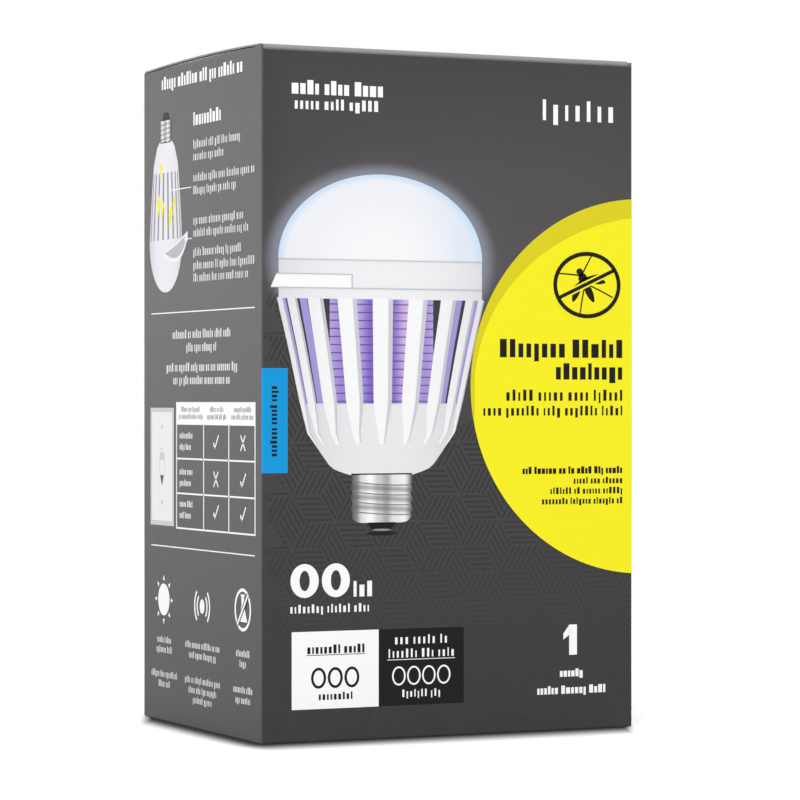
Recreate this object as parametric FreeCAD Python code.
"""A retail folding carton for an insect killer light bulb, with the bulb packed inside it.

The carton is one folded sheet of board with a lid that tucks in behind the front panel. The lid is a
piece of its own here, because it swings up on the fold along the top of the back panel. Two folded board
cradles hold the bulb, base down, and a folded leaflet stands behind its dome. All sizes are in
millimetres. The origin is the centre of the carton's foot, +Z is up, and the front panel faces -Y.
"""
import FreeCAD, Part
import math
import os

V = FreeCAD.Vector

# Board and folds of the carton
board = 0.5
fold_inner_radius = 0.1
side_clearance = 15.5
wall_clearance = 2.0
tip_clearance = 9.0
headroom = 25.5
glue_flap_width = 14.0
glue_flap_end_gap = 4.0
lock_flap_length = 38.0
lock_flap_taper = 16.0
lock_line_width = 0.3
lock_line_depth = 0.3
lock_tongue_width = 46.0
lock_tongue_length = 12.0

# Lid, tuck flap and dust flaps
lid_crown = 0.8
lid_roll_radius = 1.9
lid_side_inset = 0.8
lid_panel_inset = 0.2
lid_gap = 0.1
lid_swing_clearance = 0.25
tuck_depth = 18.0
tuck_side_inset = 0.9
tuck_corner_radius = 8.0
lock_slit_length = 7.0
lock_slit_width = 0.5
dust_flap_length = 40.0
dust_flap_inner_radius = 0.1
dust_flap_stations = 8
dust_flap_front_relief = 4.0
dust_flap_back_relief = 1.0
dust_flap_chamfer = 8.0

# Board cradles and leaflet
cradle_board = 1.2
cradle_clearance = 0.3
cradle_bend_radius = 1.8
lower_hole_radius = 27.0
upper_seat_height = 14.0
seat_gap = 0.15
leaflet_width = 90.0
leaflet_top_gap = 6.4
leaflet_sheet = 0.3
leaflet_folds = 4
leaflet_page_gap = 0.05

# Screw base of the bulb
contact_radius = 4.5
contact_height = 1.6
insulator_height = 4.3
insulator_spigot = 3.0
shell_radius = 13.2
shell_wall = 0.4
shell_length = 21.6
thread_pitch = 3.63
thread_depth = 0.9
thread_turns = 4
neck_radius = 15.0
neck_height = 1.0
part_clearance = 0.1

# Cage: a solid cup below and slanted slats above, closed by a ring
cone_bottom_radius = 21.6
cone_top_radius = 32.8
cone_height = 16.7
cup_top_radius = 38.0
cup_height = 16.1
cup_wall = 2.0
ring_step = 0.6
slat_height = 49.1
slat_bulge = 1.4
slat_width = 5.0
slat_depth = 2.6
slat_count = 16
slat_lean = 22.0
ring_height = 4.9
ring_wall = 3.0

# Driver in the cup
housing_wall = 1.4
housing_radius = 15.4
driver_board_thickness = 1.6
driver_board_gap = 2.0
capacitor_radius = 4.0
capacitor_length = 13.0
transformer_width = 10.0
transformer_depth = 7.0
transformer_height = 12.0

# High voltage grid and its light
grid_plate = 2.5
grid_wire_radius = 0.6
grid_wire_count = 20
inner_grid_radius = 18.0
outer_grid_radius = 23.0
grid_band = 5.0
spoke_width = 4.0
spoke_count = 3
spoke_turn = 22.0
hub_radius = 9.0
hub_bore = 4.0
post_width = 14.0
post_wall = 1.5
led_width = 2.8
led_length = 3.5
led_thickness = 0.8
led_rows = 4
lead_radius = 0.7
lead_inset = 1.7

# Collar, tray, light board and dome
collar_radius = 46.0
collar_wall = 2.0
collar_height = 13.4
ledge_width = 8.0
ledge_height = 2.6
tray_wall = 1.2
tray_roof_gap = 1.0
tray_width = 35.0
tray_clearance = 0.3
tray_back_gap = 12.0
rail_wall = 1.6
rail_lip = 1.0
handle_wall_gap = 0.2
handle_turn = -132.0
light_board = 1.6
white_led_count = 18
screw_radius = 1.25
screw_head_radius = 2.4
screw_head_height = 1.5
screw_length = 4.0
screw_count = 3
dome_height = 40.3
dome_wall = 1.8
dome_spigot = 2.0
dome_flat = 1.0

# Outer radii of the folds. The foot's folds are sharp inside.
fold_radius = board + fold_inner_radius
base_fold_radius = board
dust_flap_fold_radius = board + dust_flap_inner_radius

# Carton sizes that follow from what it holds
carton_width = 2.0 * (collar_radius + side_clearance + board)
carton_depth = 2.0 * (collar_radius + wall_clearance + board)
floor_top = 2.0 * board

# Levels of the bulb, from its tip upwards
tip_z = floor_top + tip_clearance
insulator_z = tip_z + contact_height
shell_z = insulator_z + insulator_height
neck_z = shell_z + shell_length
cone_z = neck_z + neck_height
cup_z = cone_z + cone_height
slat_z = cup_z + cup_height
ring_z = slat_z + slat_height
collar_z = ring_z + ring_height
dome_z = collar_z + collar_height
bulb_top = dome_z + dome_height

# Levels and radii inside the bulb
grid_base_z = slat_z - grid_plate
driver_foot_z = cone_z + housing_wall
driver_parts_z = driver_foot_z + housing_wall
housing_inner = housing_radius - housing_wall
shell_bore = shell_radius - thread_depth - shell_wall - part_clearance
light_board_z = dome_z - dome_spigot - light_board
ledge_z = light_board_z - ledge_height
collar_inner = collar_radius - collar_wall
ledge_inner = collar_inner - ledge_width
cage_ring_radius = collar_radius - ring_step
ring_inner = cage_ring_radius - ring_wall
slat_inset = cup_wall / 8.0
slat_inner_inset = slat_inset + slat_depth
cup_slope = (cup_top_radius - cone_top_radius) / cup_height
lip_inset = max(cup_wall + grid_plate * cup_slope, slat_inner_inset)
grid_base_radius = cup_top_radius - lip_inset - part_clearance
spoke_reach = cage_ring_radius - max(ring_wall, slat_inner_inset) - part_clearance
spigot_radius = collar_inner - part_clearance
screw_place = spigot_radius - dome_wall - tray_clearance - screw_head_radius
tray_z = collar_z + part_clearance
tray_top = ledge_z - tray_roof_gap
handle_reach = wall_clearance - handle_wall_gap

# Levels of the carton's top
flap_top = bulb_top + headroom + board
lid_underside = flap_top + lid_gap
carton_height = lid_underside + board
front_cut = carton_height - lid_roll_radius

# Hinge line of the lid, in the slit behind it
back_fold_y = carton_depth / 2.0 - fold_radius
lid_back_y = back_fold_y - lid_gap
hinge_y = back_fold_y - lid_gap / 2.0
hinge_z = carton_height + lid_gap / 2.0
lid_width = carton_width - 2.0 * lid_side_inset
lid_panel_width = carton_width - 2.0 * lid_panel_inset

# Axis of the lid's rolled front edge
roll_front = -carton_depth / 2.0 + board + lid_swing_clearance
roll_y = roll_front + lid_roll_radius
roll_z = carton_height - lid_roll_radius


def block(x0, x1, y0, y1, z0, z1):
    """A box between two values on each axis."""
    return Part.makeBox(x1 - x0, y1 - y0, z1 - z0, V(x0, y0, z0))


def disc(radius, z0, z1):
    """A round bar about the bulb's axis."""
    return Part.makeCylinder(radius, z1 - z0, V(0, 0, z0))


def tube(outer_radius, inner_radius, z0, z1):
    """A round tube about the bulb's axis."""
    return disc(outer_radius, z0, z1).cut(disc(inner_radius, z0, z1))


def turned(points):
    """A solid of revolution about Z, from a closed outline of (radius, height) corners."""
    corners = [V(r, 0, z) for r, z in points]
    outline = Part.makePolygon(corners + corners[:1])
    return Part.Face(outline).revolve(V(0, 0, 0), V(0, 0, 1), 360)


def spun(shape, count, start=0.0):
    """Copies of a shape, evenly spaced round the bulb's axis."""
    copies = []
    for i in range(count):
        copy = shape.copy()
        copy.rotate(V(0, 0, 0), V(0, 0, 1), start + 360.0 * i / count)
        copies.append(copy)
    return copies


def fused(shapes):
    """All shapes joined into one, with the seams between like faces removed."""
    return shapes[0].multiFuse(shapes[1:]).removeSplitter()


def line(a, b):
    """A straight edge."""
    return Part.LineSegment(a, b).toShape()


def arc(a, middle, b):
    """A circular edge through three points."""
    return Part.Arc(a, middle, b).toShape()


def quarter_point(centre_u, centre_v, radius, sign_u, sign_v):
    """The middle of a quarter circle, in the two axes of its plane."""
    half = radius * math.sqrt(0.5)
    return centre_u + sign_u * half, centre_v + sign_v * half


def fold_profile(edge, run, top, radius, foot):
    """Corner section of folded board: up a wall whose outside is at `edge`, round, and inward by `run`.

    It holds the corners of the outer and the inner side in (u, v), where u is level and v is up.
    """
    inner = radius - board
    centre_u = edge - radius
    centre_v = top - radius
    mid_out = quarter_point(centre_u, centre_v, radius, 1, 1)
    mid_in = quarter_point(centre_u, centre_v, inner, 1, 1)
    return {
        "outer": [(edge, foot), (edge, centre_v), mid_out, (centre_u, top), (edge - run, top)],
        "inner": [(edge - run, top - board), (centre_u, top - board), mid_in, (edge - board, centre_v),
                  (edge - board, foot)],
    }


def fold_wire(profile, point):
    """The outline of a fold's section, with `point` turning (u, v) into a place in space."""
    o = [point(u, v) for u, v in profile["outer"]]
    i = [point(u, v) for u, v in profile["inner"]]
    edges = [line(o[0], o[1]), arc(o[1], o[2], o[3])]
    if o[3].distanceToPoint(o[4]) > 1e-6:
        edges.append(line(o[3], o[4]))
    edges.append(line(o[4], i[0]))
    if i[0].distanceToPoint(i[1]) > 1e-6:
        edges.append(line(i[0], i[1]))
    edges += [arc(i[1], i[2], i[3]), line(i[3], i[4]), line(i[4], o[0])]
    return Part.Wire(edges)


def crown_rise(y):
    """How far the lid's arched panel stands above its own front and back ends, at a depth y."""
    middle = (lid_back_y + roll_y) / 2
    half = (lid_back_y - roll_y) / 2
    arch_radius = (half ** 2 + lid_crown ** 2) / (2 * lid_crown)
    return math.sqrt(arch_radius ** 2 - (y - middle) ** 2) - (arch_radius - lid_crown)


def rounded_prism(width, depth, radius, z0, z1):
    """An upright prism with rounded vertical edges."""
    prism = block(-width / 2, width / 2, -depth / 2, depth / 2, z0, z1)
    uprights = [e for e in prism.Edges if abs(e.Vertexes[0].Z - e.Vertexes[1].Z) > 1e-6]
    return prism.makeFillet(radius, uprights)


def carton_walls():
    """The four walls and the outer floor, with every outside fold rounded."""
    outer = rounded_prism(carton_width, carton_depth, fold_radius, 0, flap_top)
    foot = [e for e in outer.Edges if e.BoundBox.ZMax < 1e-6]
    outer = outer.makeFillet(base_fold_radius, foot)
    inner_width = carton_width - 2 * board
    inner_depth = carton_depth - 2 * board
    inner = rounded_prism(inner_width, inner_depth, fold_radius - board, board, flap_top + 1)
    return outer.cut(inner)


def lock_bottom():
    """The two inner bottom flaps, glued on the outer ones, with tapered ends."""
    half_w = carton_width / 2 - board / 2
    half_d = carton_depth / 2 - board - part_clearance
    flaps = []
    for side in (-1, 1):
        corners = [
            V(side * half_w, -half_d, board),
            V(side * half_w, half_d, board),
            V(side * (half_w - lock_flap_length), half_d - lock_flap_taper, board),
            V(side * (half_w - lock_flap_length), -half_d + lock_flap_taper, board),
        ]
        face = Part.Face(Part.makePolygon(corners + corners[:1]))
        flaps.append(face.extrude(V(0, 0, board)))
    return flaps


def lock_line():
    """The shallow line under the floor where the front and back bottom flaps interlock."""
    half = lock_line_width / 2
    reach = carton_width / 2 - fold_radius - base_fold_radius
    wing = lock_tongue_width / 2
    far = lock_tongue_length
    runs = [
        (-reach, -wing + half, -half, half),
        (wing - half, reach, -half, half),
        (-wing - half, -wing + half, -half, far + half),
        (wing - half, wing + half, -half, far + half),
        (-wing - half, wing + half, far - half, far + half),
    ]
    return [block(x0, x1, y0, y1, -1, lock_line_depth) for x0, x1, y0, y1 in runs]


def dust_flap():
    """The right side wall's top edge, folded inward into a flap with cut corners.

    The flap arches with the lid above it, so its fold is sharp at both ends and rounder half way.
    """
    front_y = -carton_depth / 2 + board + dust_flap_front_relief
    back_y = carton_depth / 2 - board - dust_flap_back_relief
    foot = flap_top - dust_flap_fold_radius - board
    sections = []
    for i in range(dust_flap_stations + 1):
        y = front_y + (back_y - front_y) * i / dust_flap_stations
        rise = crown_rise(y)
        profile = fold_profile(carton_width / 2, dust_flap_length, flap_top + rise,
                               dust_flap_fold_radius + rise, foot)
        sections.append(fold_wire(profile, lambda u, v: V(u, y, v)))
    flap = Part.makeLoft(sections, True, True)
    tip = carton_width / 2 - dust_flap_length
    cut = dust_flap_chamfer
    for y, inward in ((front_y, 1), (back_y, -1)):
        corners = [V(tip - 1, y - inward, 0), V(tip + cut, y - inward, 0), V(tip + cut, y, 0),
                   V(tip, y + inward * cut, 0), V(tip - 1, y + inward * cut, 0)]
        wedge = Part.Face(Part.makePolygon(corners + corners[:1])).extrude(V(0, 0, carton_height + lid_crown))
        flap = flap.cut(wedge)
    return flap, front_y, back_y


def make_carton_body():
    """Walls, floor, dust flaps, the back fold under the lid, and the glue flap, as one folded sheet."""
    body = carton_walls()
    half_w = carton_width / 2
    half_d = carton_depth / 2
    above = carton_height + 1

    window = block(-half_w + fold_radius, half_w - fold_radius, -half_d - 1, -half_d + fold_radius,
                   front_cut, above)
    body = body.cut(window)

    flap, front_y, back_y = dust_flap()
    top_z = flap_top - dust_flap_fold_radius
    for side in (-1, 1):
        low = min(side * (half_w - fold_radius), side * (half_w + 1))
        high = max(side * (half_w - fold_radius), side * (half_w + 1))
        body = body.cut(block(low, high, front_y, back_y, top_z, above))
    mirrored = flap.mirror(V(0, 0, 0), V(1, 0, 0))

    fold_foot = carton_height - fold_radius - board
    section = fold_profile(half_d, fold_radius, carton_height, fold_radius, fold_foot)
    back_fold = Part.Face(fold_wire(section, lambda u, v: V(-lid_width / 2, u, v)))
    back_fold = back_fold.extrude(V(lid_width, 0, 0))
    body = body.cut(block(-lid_width / 2, lid_width / 2, half_d - fold_radius, half_d + 1,
                          carton_height - fold_radius, above))

    flap_right = half_w - board
    glue_flap = block(flap_right - glue_flap_width, flap_right, half_d - 2 * board, half_d - board,
                      floor_top + glue_flap_end_gap, front_cut - glue_flap_end_gap)

    body = fused([body, flap, mirrored, back_fold, glue_flap] + lock_bottom())
    for groove in lock_line():
        body = body.cut(groove)
    return body


def make_top_lid():
    """The crowned lid panel, with its narrower rolled front edge and tuck flap behind the front panel."""
    middle_y = (lid_back_y + roll_y) / 2
    swing = hinge_y + carton_depth / 2 - board - lid_swing_clearance
    tuck_z = carton_height - tuck_depth
    tuck_y = hinge_y - math.sqrt(swing ** 2 - (hinge_z - tuck_z) ** 2)
    mid_out = quarter_point(roll_y, roll_z, lid_roll_radius, -1, 1)
    mid_in = quarter_point(roll_y, roll_z, lid_roll_radius - board, -1, 1)
    x = -lid_width / 2

    def at(y, z):
        return V(x, y, z)

    crown_z = carton_height + lid_crown
    top = [at(lid_back_y, carton_height), at(middle_y, crown_z), at(roll_y, carton_height)]
    under = [at(roll_y, lid_underside), at(middle_y, crown_z - board), at(lid_back_y, lid_underside)]
    roll_end = at(roll_front, roll_z)
    roll_end_in = at(roll_front + board, roll_z)
    tuck_out = at(tuck_y, tuck_z)
    tuck_in = at(tuck_y + board, tuck_z)
    outline = Part.Wire([
        arc(*top),
        arc(top[2], at(*mid_out), roll_end),
        line(roll_end, tuck_out),
        line(tuck_out, tuck_in),
        line(tuck_in, roll_end_in),
        arc(roll_end_in, at(*mid_in), under[0]),
        arc(*under),
        line(under[2], top[0]),
    ])
    lid = Part.Face(outline).extrude(V(lid_width, 0, 0))

    panel_outline = Part.Wire([arc(*top), line(top[2], under[0]), arc(*under), line(under[2], top[0])])
    panel = Part.Face(panel_outline).extrude(V(lid_panel_width, 0, 0))
    panel.translate(V((lid_width - lid_panel_width) / 2, 0, 0))
    lid = fused([lid, panel])

    tuck_half = lid_width / 2 - tuck_side_inset
    front = -carton_depth / 2 - 1
    behind = tuck_y + board + 1
    radius = tuck_corner_radius
    for side in (-1, 1):
        low = min(side * tuck_half, side * (carton_width / 2))
        high = max(side * tuck_half, side * (carton_width / 2))
        lid = lid.cut(block(low, high, front, behind, tuck_z - 1, roll_z - lock_slit_width))
        corner = block(min(side * (tuck_half - radius), side * carton_width / 2),
                       max(side * (tuck_half - radius), side * carton_width / 2),
                       front, behind, tuck_z - 1, tuck_z + radius)
        centre = V(side * (tuck_half - radius), front, tuck_z + radius)
        rounder = Part.makeCylinder(radius, behind - front, centre, V(0, 1, 0))
        lid = lid.cut(corner.cut(rounder))
        slit_low = min(side * (tuck_half - lock_slit_length), side * carton_width / 2)
        slit_high = max(side * (tuck_half - lock_slit_length), side * carton_width / 2)
        lid = lid.cut(block(slit_low, slit_high, front, behind, roll_z - lock_slit_width, roll_z))
    return lid


def cradle_section(top, direction, leg_end):
    """Section of a folded board bridge: a plate at `top`, with both ends bent towards `leg_end`.

    `direction` is -1 where the legs go down and 1 where they go up. `top` is the face of the plate that
    looks away from the legs.
    """
    half = carton_width / 2 - board - cradle_clearance
    r_out = cradle_bend_radius
    r_in = cradle_bend_radius - cradle_board
    centre_u = half - r_out
    centre_v = top + direction * r_out
    plate_in = top + direction * cradle_board
    y = -(carton_depth / 2 - board - cradle_clearance)
    mid_out = quarter_point(centre_u, centre_v, r_out, 1, -direction)
    mid_in = quarter_point(centre_u, centre_v, r_in, 1, -direction)
    inner = half - cradle_board

    def at(u, v):
        return V(u, y, v)

    return Part.Face(Part.Wire([
        line(at(-centre_u, top), at(centre_u, top)),
        arc(at(centre_u, top), at(*mid_out), at(half, centre_v)),
        line(at(half, centre_v), at(half, leg_end)),
        line(at(half, leg_end), at(inner, leg_end)),
        line(at(inner, leg_end), at(inner, centre_v)),
        arc(at(inner, centre_v), at(*mid_in), at(centre_u, plate_in)),
        line(at(centre_u, plate_in), at(-centre_u, plate_in)),
        arc(at(-centre_u, plate_in), at(-mid_in[0], mid_in[1]), at(-inner, centre_v)),
        line(at(-inner, centre_v), at(-inner, leg_end)),
        line(at(-inner, leg_end), at(-half, leg_end)),
        line(at(-half, leg_end), at(-half, centre_v)),
        arc(at(-half, centre_v), at(-mid_out[0], mid_out[1]), at(-centre_u, top)),
    ]))


def cradle(top, direction, leg_end, hole_radius):
    """A folded board bridge across the carton, clear of the glue flap, with a round hole for the bulb."""
    depth = carton_depth - 3 * board - 2 * cradle_clearance
    bridge = cradle_section(top, direction, leg_end).extrude(V(0, depth, 0))
    low = min(top, top + direction * cradle_board) - 1
    return bridge.cut(disc(hole_radius, low, low + cradle_board + 2))


def cone_level(radius):
    """Height at which the cage's cone has a given radius."""
    share = (radius - cone_bottom_radius) / (cone_top_radius - cone_bottom_radius)
    return cone_z + share * cone_height


def dome_radius_at(height):
    """Outside radius of the dome at a height above its rim."""
    return collar_radius * math.sqrt(1 - (height / dome_height) ** 2)


lower_shelf_z = cone_level(lower_hole_radius) - seat_gap
upper_shelf_z = dome_z + upper_seat_height + seat_gap


def make_lower_cradle():
    """A shelf standing on the carton's floor, with the bulb's cone seated in its hole."""
    return cradle(lower_shelf_z, -1, floor_top, lower_hole_radius)


def make_upper_cradle():
    """A shelf pushed down over the dome, with legs that reach up to the dust flaps."""
    leg_end = flap_top - board - cradle_clearance
    shelf = cradle(upper_shelf_z, 1, leg_end, dome_radius_at(upper_seat_height))
    front = -carton_depth / 2
    step = front + board + dust_flap_front_relief
    reach = carton_width / 2
    tuck_foot = carton_height - tuck_depth - cradle_clearance
    return shelf.cut(block(-reach, reach, front, step, tuck_foot, leg_end + 1))


def make_instruction_leaflet():
    """A folded sheet that stands on the upper shelf against the back wall: pages joined by their folds."""
    back = carton_depth / 2 - 2 * board - cradle_clearance
    foot = upper_shelf_z + cradle_board
    head = flap_top - board - leaflet_top_gap
    pitch = leaflet_sheet + leaflet_page_gap
    pages = []
    for i in range(leaflet_folds):
        y1 = back - i * pitch
        pages.append(block(-leaflet_width / 2, leaflet_width / 2, y1 - leaflet_sheet, y1, foot, head))
    for i in range(leaflet_folds - 1):
        y1 = back - i * pitch - leaflet_sheet
        side = 1 if i % 2 else -1
        edge = side * leaflet_width / 2
        x0 = min(edge, edge - side * leaflet_sheet)
        pages.append(block(x0, x0 + leaflet_sheet, y1 - leaflet_page_gap, y1, foot, head))
    return fused(pages)


def make_centre_contact():
    """The metal button at the very tip, with a rounded edge."""
    button = disc(contact_radius, tip_z, insulator_z)
    tip_edge = [e for e in button.Edges if e.BoundBox.ZMax < tip_z + 1e-6]
    return button.makeFillet(contact_height / 2, tip_edge)


def make_contact_insulator():
    """The dark cone between the button and the shell, with a spigot up into the shell."""
    rim = shell_radius - thread_depth / 2 - shell_wall
    spigot = rim - part_clearance
    return turned([
        (0, insulator_z),
        (contact_radius + 1, insulator_z),
        (rim, shell_z),
        (spigot, shell_z),
        (spigot, shell_z + insulator_spigot),
        (0, shell_z + insulator_spigot),
    ])


def thread_edges(radius, z0, upward):
    """The wavy side of the shell: a crest and a root for each turn, as arcs through the mid radius."""
    half = thread_pitch / 2
    crest = thread_depth / 2
    edges = []
    for i in range(2 * thread_turns):
        swing = crest if i % 2 == 0 else -crest
        a = V(radius, 0, z0 + i * half)
        b = V(radius, 0, z0 + (i + 1) * half)
        middle = V(radius + swing, 0, z0 + (i + 0.5) * half)
        edges.append(arc(a, middle, b))
    if not upward:
        edges = [arc(e.Vertexes[1].Point, e.valueAt((e.FirstParameter + e.LastParameter) / 2),
                     e.Vertexes[0].Point) for e in reversed(edges)]
    return edges


def make_screw_shell():
    """The thin rolled metal shell, whose thread is drawn as rings of the true pitch and depth."""
    outer = shell_radius - thread_depth / 2
    inner = outer - shell_wall
    thread_z0 = shell_z + (shell_length - thread_turns * thread_pitch) / 2
    thread_z1 = thread_z0 + thread_turns * thread_pitch
    edges = [
        line(V(inner, 0, shell_z), V(outer, 0, shell_z)),
        line(V(outer, 0, shell_z), V(outer, 0, thread_z0)),
    ]
    edges += thread_edges(outer, thread_z0, True)
    edges += [
        line(V(outer, 0, thread_z1), V(outer, 0, neck_z)),
        line(V(outer, 0, neck_z), V(inner, 0, neck_z)),
        line(V(inner, 0, neck_z), V(inner, 0, thread_z1)),
    ]
    edges += thread_edges(inner, thread_z0, False)
    edges.append(line(V(inner, 0, thread_z0), V(inner, 0, shell_z)))
    return Part.Face(Part.Wire(edges)).revolve(V(0, 0, 0), V(0, 0, 1), 360)


def make_base_housing():
    """The plastic pot that plugs into the shell, shows as the neck, and holds the driver in the cup."""
    spigot_z = shell_z + insulator_spigot + part_clearance
    bore = shell_bore - housing_wall
    return turned([
        (bore, spigot_z),
        (shell_bore, spigot_z),
        (shell_bore, neck_z),
        (neck_radius, neck_z),
        (neck_radius, cone_z),
        (housing_radius, cone_z),
        (housing_radius, grid_base_z),
        (housing_inner, grid_base_z),
        (housing_inner, driver_foot_z),
        (bore, driver_foot_z),
    ])


def make_driver_board():
    """The upright circuit board, standing on the pot's step."""
    half = housing_inner - driver_board_gap
    return block(-half, half, -driver_board_thickness / 2, driver_board_thickness / 2,
                 driver_foot_z, grid_base_z - part_clearance)


def make_driver_capacitor():
    """The smoothing capacitor, upright on the front of the driver board."""
    y = -driver_board_thickness / 2 - capacitor_radius
    return Part.makeCylinder(capacitor_radius, capacitor_length, V(-capacitor_radius, y, driver_parts_z))


def make_driver_transformer():
    """The small transformer that raises the voltage of the grid, on the back of the driver board."""
    y0 = driver_board_thickness / 2
    half = transformer_width / 2
    return block(-half, half, y0, y0 + transformer_depth, driver_parts_z, driver_parts_z + transformer_height)


def slat_section(level, radius, turn):
    """One slat's cross section at a level: a small rectangle, turned about the bulb's axis."""
    half = slat_width / 2
    corners = [V(radius - slat_depth, -half, level), V(radius, -half, level),
               V(radius, half, level), V(radius - slat_depth, half, level)]
    wire = Part.makePolygon(corners + corners[:1])
    wire.rotate(V(0, 0, 0), V(0, 0, 1), turn)
    return wire


def make_cage():
    """One moulding: the cup, the slanted slats and the ring that closes them."""
    cup = turned([
        (housing_radius + part_clearance, cone_z),
        (cone_bottom_radius, cone_z),
        (cone_top_radius, cup_z),
        (cup_top_radius, slat_z),
        (cup_top_radius - cup_wall, slat_z),
        (cone_top_radius - cup_wall, cup_z),
        (cone_bottom_radius - cup_wall, cone_z + cup_wall),
        (housing_radius + part_clearance, cone_z + cup_wall),
    ])
    ring = tube(cage_ring_radius, cage_ring_radius - ring_wall, ring_z, collar_z)
    bite = cup_wall / 4
    middle = (cup_top_radius + cage_ring_radius) / 2 + slat_bulge
    slat = Part.makeLoft([
        slat_section(slat_z - bite, cup_top_radius - slat_inset, -slat_lean / 2),
        slat_section((slat_z + ring_z) / 2, middle, 0),
        slat_section(ring_z + bite, cage_ring_radius - slat_inset, slat_lean / 2),
    ], True, True)
    return fused([cup, ring] + spun(slat, slat_count))


def wire_circles():
    """Radius and starting angle of the two circles of grid wires."""
    return ((inner_grid_radius, 0.0), (outer_grid_radius, 180.0 / grid_wire_count))


def make_grid_base():
    """The disc on top of the pot and the cup's lip that carries the grid wires and the post."""
    return disc(grid_base_radius, grid_base_z, slat_z)


def make_grid_wires():
    """Two circles of upright wires, of opposite charge, standing between the base and the top ring."""
    wires = []
    for radius, start in wire_circles():
        wire = Part.makeCylinder(grid_wire_radius, ring_z - grid_plate - slat_z, V(radius, 0, slat_z))
        wires += spun(wire, grid_wire_count, start)
    return Part.makeCompound(wires)


def make_grid_top_ring():
    """The open ring that caps the grid wires, held to the cage's ring and the post's top by spokes."""
    centre = (inner_grid_radius + outer_grid_radius) / 2
    low = ring_z - grid_plate
    high = ring_z + grid_plate
    band = tube(centre + grid_band, centre - grid_band, low, ring_z)
    hub = tube(hub_radius, hub_bore, ring_z, high)
    spoke = block((hub_radius + hub_bore) / 2, spoke_reach, -spoke_width / 2, spoke_width / 2, ring_z, high)
    return fused([band, hub] + spun(spoke, spoke_count, spoke_turn))


def make_uv_post():
    """The square hollow post up the middle, whose faces carry the violet light sources."""
    half = post_width / 2
    hole = half - post_wall
    post = block(-half, half, -half, half, slat_z, ring_z)
    return post.cut(block(-hole, hole, -hole, hole, slat_z, ring_z))


def make_uv_leds():
    """Small violet light sources in rows up the post's four faces."""
    span = ring_z - slat_z
    lights = []
    for row in range(led_rows):
        z = slat_z + span * (row + 1) / (led_rows + 1)
        light = block(post_width / 2, post_width / 2 + led_thickness, -led_width / 2, led_width / 2,
                      z - led_length / 2, z + led_length / 2)
        lights += spun(light, 4)
    return Part.makeCompound(lights)


def make_led_leads():
    """Two insulated wires that rise beside the grid, clear of the tray, to the light board."""
    foot_y = grid_base_radius - lead_inset
    head_y = ledge_inner - lead_inset
    leads = []
    for side in (-1, 1):
        foot = V(side * (lead_radius + part_clearance), foot_y, slat_z)
        circle = Part.Wire(Part.makeCircle(lead_radius, foot))
        lead = Part.Face(circle).extrude(V(0, head_y - foot_y, light_board_z - slat_z))
        lead.rotate(V(0, 0, 0), V(0, 0, 1), handle_turn)
        leads.append(lead)
    return Part.makeCompound(leads)


def make_insect_tray():
    """The narrow drawer that catches insects, open towards the cage. Its curved front is the handle."""
    half = tray_width / 2
    back = tray_back_gap - collar_inner
    reach = collar_radius + handle_reach
    body = block(back, reach, -half, half, tray_z, tray_top).common(disc(reach, tray_z, tray_top))
    front_inner = collar_inner - tray_wall
    inside = half - tray_wall
    pocket = block(back + tray_wall, reach, -inside, inside, tray_z - 1, tray_top - tray_wall)
    pocket = pocket.common(disc(front_inner, tray_z - 1, tray_top))
    tray = body.cut(pocket)
    tray.rotate(V(0, 0, 0), V(0, 0, 1), handle_turn)
    return tray


def tray_rails():
    """Two rails across the collar, with lips under the tray's edges."""
    inside = tray_width / 2 + tray_clearance
    outside = inside + rail_wall
    lip_inside = inside - tray_clearance - rail_lip
    lip_low = collar_z - rail_lip
    rails = []
    for side in (-1, 1):
        low = min(side * inside, side * outside)
        high = max(side * inside, side * outside)
        wall = block(-collar_radius, collar_radius, low, high, collar_z, ledge_z)
        rails.append(wall.common(disc(collar_inner + part_clearance, collar_z, ledge_z)))
        low = min(side * lip_inside, side * outside)
        high = max(side * lip_inside, side * outside)
        lip = block(-collar_radius, collar_radius, low, high, lip_low, collar_z)
        rails.append(lip.common(disc(ring_inner - part_clearance, lip_low, collar_z)))
    return rails


def make_collar():
    """The ring between cage and dome, with a window and rails for the tray and a ledge for the lights."""
    ring = turned([
        (collar_inner, collar_z),
        (collar_radius, collar_z),
        (collar_radius, dome_z),
        (collar_inner, dome_z),
        (collar_inner, light_board_z),
        (ledge_inner, light_board_z),
        (ledge_inner, ledge_z),
        (collar_inner, ledge_z),
    ])
    half = tray_width / 2 + tray_clearance
    window = block(0, collar_radius + 1, -half, half, collar_z - 1, tray_top + tray_clearance)
    collar = fused([ring.cut(window)] + tray_rails())
    collar.rotate(V(0, 0, 0), V(0, 0, 1), handle_turn)
    for shank in spun(screw_shank(), screw_count):
        collar = collar.cut(shank)
    return collar


def screw_shank():
    """A round bar where a board screw goes, from the board's top down into the ledge."""
    top = light_board_z + light_board
    return Part.makeCylinder(screw_radius, screw_length, V(screw_place, 0, top - screw_length))


def make_led_board():
    """The round metal circuit board under the dome, resting on the collar's ledge."""
    plate = disc(spigot_radius, light_board_z, light_board_z + light_board)
    for shank in spun(screw_shank(), screw_count):
        plate = plate.cut(shank)
    return plate


def make_white_leds():
    """White light sources in one circle on the light board."""
    radius = collar_inner * 0.6
    z = light_board_z + light_board
    light = block(radius - led_width / 2, radius + led_width / 2, -led_length / 2, led_length / 2,
                  z, z + led_thickness)
    return Part.makeCompound(spun(light, white_led_count))


def make_board_screws():
    """Pan head screws through the light board into the collar's ledge."""
    z = light_board_z + light_board
    head = Part.makeCylinder(screw_head_radius, screw_head_height, V(screw_place, 0, z))
    return Part.makeCompound(spun(fused([head, screw_shank()]), screw_count))


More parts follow.
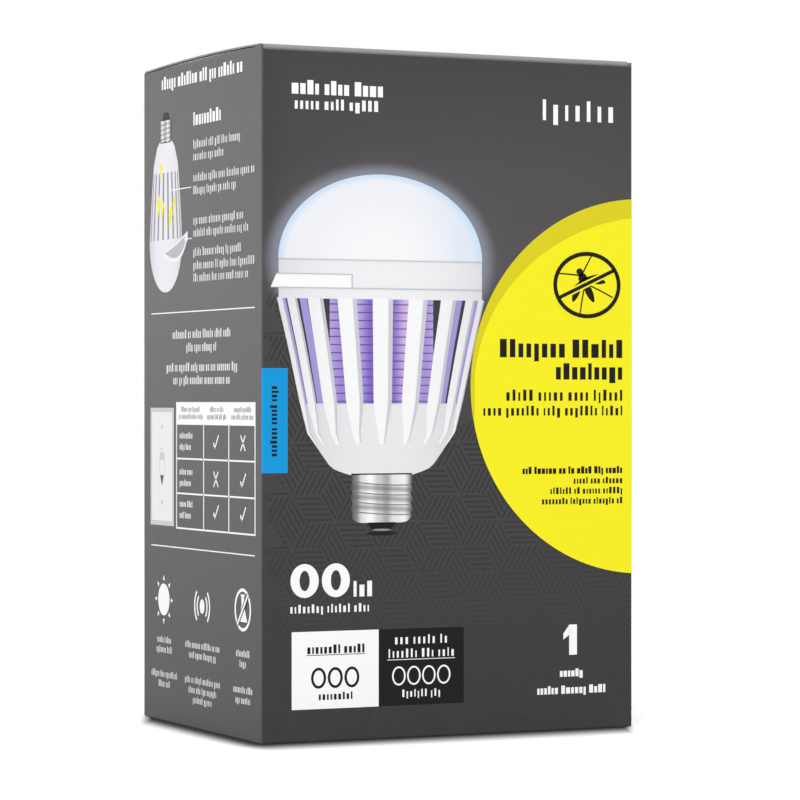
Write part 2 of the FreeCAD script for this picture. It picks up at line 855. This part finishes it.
def elliptic_edge(radius, height, low):
    """The side of an ellipse about the dome's rim, from a height above it to the flat spot at the top."""
    centre = V(0, 0, dome_z)
    side = V(radius, 0, dome_z)
    top = V(0, 0, dome_z + height)
    ellipse = Part.Ellipse(side, top, centre) if radius >= height else Part.Ellipse(top, side, centre)
    foot = V(radius * math.sqrt(1 - (low / height) ** 2), 0, dome_z + low)
    head = V(dome_flat, 0, dome_z + height * math.sqrt(1 - (dome_flat / radius) ** 2))
    ends = sorted([ellipse.parameter(foot), ellipse.parameter(head)])
    return ellipse.toShape(*ends), foot, head


def make_dome_diffuser():
    """The milky dome: half an ellipsoid shell with a short spigot that drops into the collar."""
    outer, rim, head = elliptic_edge(collar_radius, dome_height, 0)
    inner_radius = collar_radius - dome_wall
    inner_height = dome_height - dome_wall
    inner, inner_rim, inner_head = elliptic_edge(inner_radius, inner_height, dome_wall)
    top = V(0, 0, head.z)
    inner_top = V(0, 0, inner_head.z)
    bore = spigot_radius - dome_wall
    seat = V(spigot_radius, 0, dome_z)
    spigot_foot = V(spigot_radius, 0, dome_z - dome_spigot)
    bore_foot = V(bore, 0, dome_z - dome_spigot)
    bore_top = V(bore, 0, dome_z + dome_wall)
    outline = Part.Wire([
        outer,
        line(head, top),
        line(top, inner_top),
        line(inner_top, inner_head),
        inner,
        line(inner_rim, bore_top),
        line(bore_top, bore_foot),
        line(bore_foot, spigot_foot),
        line(spigot_foot, seat),
        line(seat, rim),
    ])
    return Part.Face(outline).revolve(V(0, 0, 0), V(0, 0, 1), 360)


PIECES = {
    "carton_body": make_carton_body,
    "top_lid": make_top_lid,
    "lower_cradle": make_lower_cradle,
    "upper_cradle": make_upper_cradle,
    "instruction_leaflet": make_instruction_leaflet,
    "centre_contact": make_centre_contact,
    "contact_insulator": make_contact_insulator,
    "screw_shell": make_screw_shell,
    "base_housing": make_base_housing,
    "driver_board": make_driver_board,
    "driver_capacitor": make_driver_capacitor,
    "driver_transformer": make_driver_transformer,
    "cage": make_cage,
    "grid_base": make_grid_base,
    "grid_wires": make_grid_wires,
    "grid_top_ring": make_grid_top_ring,
    "uv_post": make_uv_post,
    "uv_leds": make_uv_leds,
    "led_leads": make_led_leads,
    "insect_tray": make_insect_tray,
    "collar": make_collar,
    "led_board": make_led_board,
    "white_leds": make_white_leds,
    "board_screws": make_board_screws,
    "dome_diffuser": make_dome_diffuser,
}

os.makedirs("parts", exist_ok=True)
for name, make in PIECES.items():
    shape = make()
    shape.exportStep(f"parts/{name}.step")
    print(f"{name:22s} solids {len(shape.Solids)}  volume {shape.Volume:10.1f} mm3  valid {shape.isValid()}")
print(f"carton {carton_width:.1f} x {carton_depth:.1f} x {carton_height:.1f} mm, hinge y {hinge_y:.2f}")
